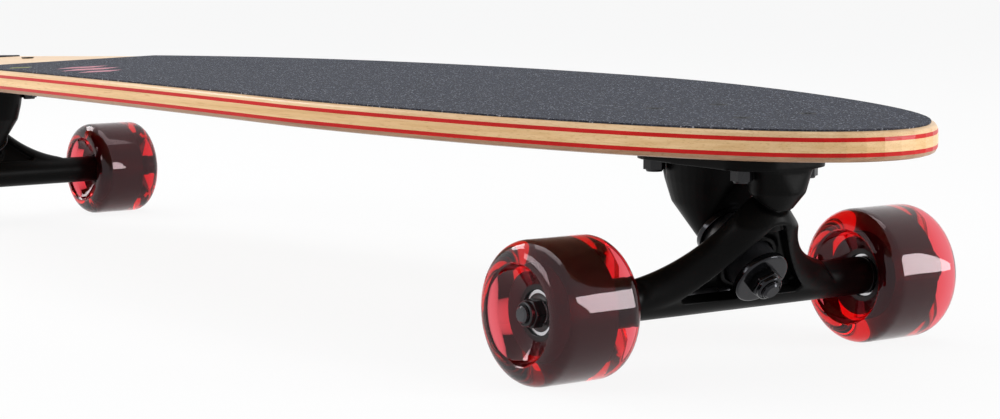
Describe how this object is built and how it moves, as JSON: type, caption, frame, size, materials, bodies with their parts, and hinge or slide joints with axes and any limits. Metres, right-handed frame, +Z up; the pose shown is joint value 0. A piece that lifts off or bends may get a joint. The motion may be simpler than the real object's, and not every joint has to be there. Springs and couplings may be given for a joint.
{
  "type": "longboard skateboard",
  "caption": "Pintail longboard skateboard: laminated maple deck with grip tape, reverse kingpin trucks that steer, and soft urethane wheels on ball bearings.",
  "frame": {"origin": "on the ground, under the middle of the deck", "axes": "+X towards the nose, +Y to the left, +Z up"},
  "size_m": [1.067, 0.264, 0.1262],
  "materials": {
    "grip": "coarse mineral grit, dark blue-grey with a fine sparkle",
    "maple_face": "pale maple veneer with a satin clear lacquer",
    "maple_core": "pale maple edge grain with a satin clear lacquer",
    "maple_underside": "maple veneer with a satin clear lacquer",
    "red_veneer": "veneer dyed red through its thickness, satin lacquer",
    "black_hardware": "black oxide with a thin oil sheen",
    "black_steel": "black plated, glossy",
    "dark_steel": "dark plated steel",
    "bright_steel": "ground and polished bearing steel",
    "black_casting": "satin black powder coat on cast aluminium",
    "riser_rubber": "black rubber, faint mould sheen",
    "black_urethane": "black cast urethane, semi-gloss",
    "wheel_urethane": "transparent red cast urethane, glossy",
    "black_nylon": "glass filled nylon",
    "black_seal": "black rubber bearing shield",
    "cage_nylon": "natural nylon"
  },
  "bodies": {
    "deck_and_baseplates": {"grip_tape": "grip", "deck_top_plies": "maple_face", "deck_upper_red_ply": "red_veneer", "deck_core_plies": "maple_core", "deck_lower_red_ply": "red_veneer", "deck_bottom_plies": "maple_underside", "deck_bolts": "black_hardware", "deck_nuts": "black_hardware", "front_riser_pad": "riser_rubber", "front_baseplate": "black_casting", "front_pivot_cup": "black_urethane", "front_kingpin": "black_steel", "front_kingpin_nut": "black_steel", "front_boardside_bushing": "black_urethane", "front_roadside_bushing": "black_urethane", "front_cup_washers": "black_steel", "rear_riser_pad": "riser_rubber", "rear_baseplate": "black_casting", "rear_pivot_cup": "black_urethane", "rear_kingpin": "black_steel", "rear_kingpin_nut": "black_steel", "rear_boardside_bushing": "black_urethane", "rear_roadside_bushing": "black_urethane", "rear_cup_washers": "black_steel"},
    "front_hanger": {"front_hanger": "black_casting", "front_axle": "dark_steel", "front_axle_nuts": "black_hardware", "front_speed_washers": "bright_steel", "front_bearing_inner_rings": "bright_steel", "front_bearing_spacers": "bright_steel"},
    "rear_hanger": {"rear_hanger": "black_casting", "rear_axle": "dark_steel", "rear_axle_nuts": "black_hardware", "rear_speed_washers": "bright_steel", "rear_bearing_inner_rings": "bright_steel", "rear_bearing_spacers": "bright_steel"},
    "front_left_wheel": {"front_left_tyre": "wheel_urethane", "front_left_core": "black_nylon", "front_left_outer_rings": "bright_steel", "front_left_seals": "black_seal"},
    "front_left_ball_sets": {"front_left_balls": "bright_steel", "front_left_cages": "cage_nylon"},
    "front_right_wheel": {"front_right_tyre": "wheel_urethane", "front_right_core": "black_nylon", "front_right_outer_rings": "bright_steel", "front_right_seals": "black_seal"},
    "front_right_ball_sets": {"front_right_balls": "bright_steel", "front_right_cages": "cage_nylon"},
    "rear_left_wheel": {"rear_left_tyre": "wheel_urethane", "rear_left_core": "black_nylon", "rear_left_outer_rings": "bright_steel", "rear_left_seals": "black_seal"},
    "rear_left_ball_sets": {"rear_left_balls": "bright_steel", "rear_left_cages": "cage_nylon"},
    "rear_right_wheel": {"rear_right_tyre": "wheel_urethane", "rear_right_core": "black_nylon", "rear_right_outer_rings": "bright_steel", "rear_right_seals": "black_seal"},
    "rear_right_ball_sets": {"rear_right_balls": "bright_steel", "rear_right_cages": "cage_nylon"}
  },
  "joints": [
    {"name": "front_steer", "type": "hinge", "parent": "deck_and_baseplates", "child": "front_hanger", "pos_m": [0.42799, 0, 0.05278], "axis": [0.6046, 0, 0.7965], "range_deg": [-22, 22], "stiffness_Nm_per_rad": 15, "deforming": ["front_boardside_bushing", "front_roadside_bushing"]},
    {"name": "rear_steer", "type": "hinge", "parent": "deck_and_baseplates", "child": "rear_hanger", "pos_m": [-0.41799, 0, 0.05278], "axis": [-0.6046, 0, 0.7965], "range_deg": [-22, 22], "stiffness_Nm_per_rad": 15, "deforming": ["rear_boardside_bushing", "rear_roadside_bushing"]},
    {"name": "front_left_wheel_spin", "type": "hinge", "parent": "front_hanger", "child": "front_left_wheel", "pos_m": [0.4175, 0.103, 0.034], "axis": [0, 1, 0], "continuous": true},
    {"name": "front_left_ball_orbit", "type": "hinge", "parent": "front_hanger", "child": "front_left_ball_sets", "pos_m": [0.4175, 0.103, 0.034], "axis": [0, 1, 0], "continuous": true},
    {"name": "front_right_wheel_spin", "type": "hinge", "parent": "front_hanger", "child": "front_right_wheel", "pos_m": [0.4175, -0.103, 0.034], "axis": [0, 1, 0], "continuous": true},
    {"name": "front_right_ball_orbit", "type": "hinge", "parent": "front_hanger", "child": "front_right_ball_sets", "pos_m": [0.4175, -0.103, 0.034], "axis": [0, 1, 0], "continuous": true},
    {"name": "rear_left_wheel_spin", "type": "hinge", "parent": "rear_hanger", "child": "rear_left_wheel", "pos_m": [-0.4075, 0.103, 0.034], "axis": [0, 1, 0], "continuous": true},
    {"name": "rear_left_ball_orbit", "type": "hinge", "parent": "rear_hanger", "child": "rear_left_ball_sets", "pos_m": [-0.4075, 0.103, 0.034], "axis": [0, 1, 0], "continuous": true},
    {"name": "rear_right_wheel_spin", "type": "hinge", "parent": "rear_hanger", "child": "rear_right_wheel", "pos_m": [-0.4075, -0.103, 0.034], "axis": [0, 1, 0], "continuous": true},
    {"name": "rear_right_ball_orbit", "type": "hinge", "parent": "rear_hanger", "child": "rear_right_ball_sets", "pos_m": [-0.4075, -0.103, 0.034], "axis": [0, 1, 0], "continuous": true}
  ],
  "couplings": [
    {"joint": "front_left_ball_orbit", "follows": "front_left_wheel_spin", "ratio": 0.6322},
    {"joint": "front_right_ball_orbit", "follows": "front_right_wheel_spin", "ratio": 0.6322},
    {"joint": "rear_left_ball_orbit", "follows": "rear_left_wheel_spin", "ratio": 0.6322},
    {"joint": "rear_right_ball_orbit", "follows": "rear_right_wheel_spin", "ratio": 0.6322}
  ]
}
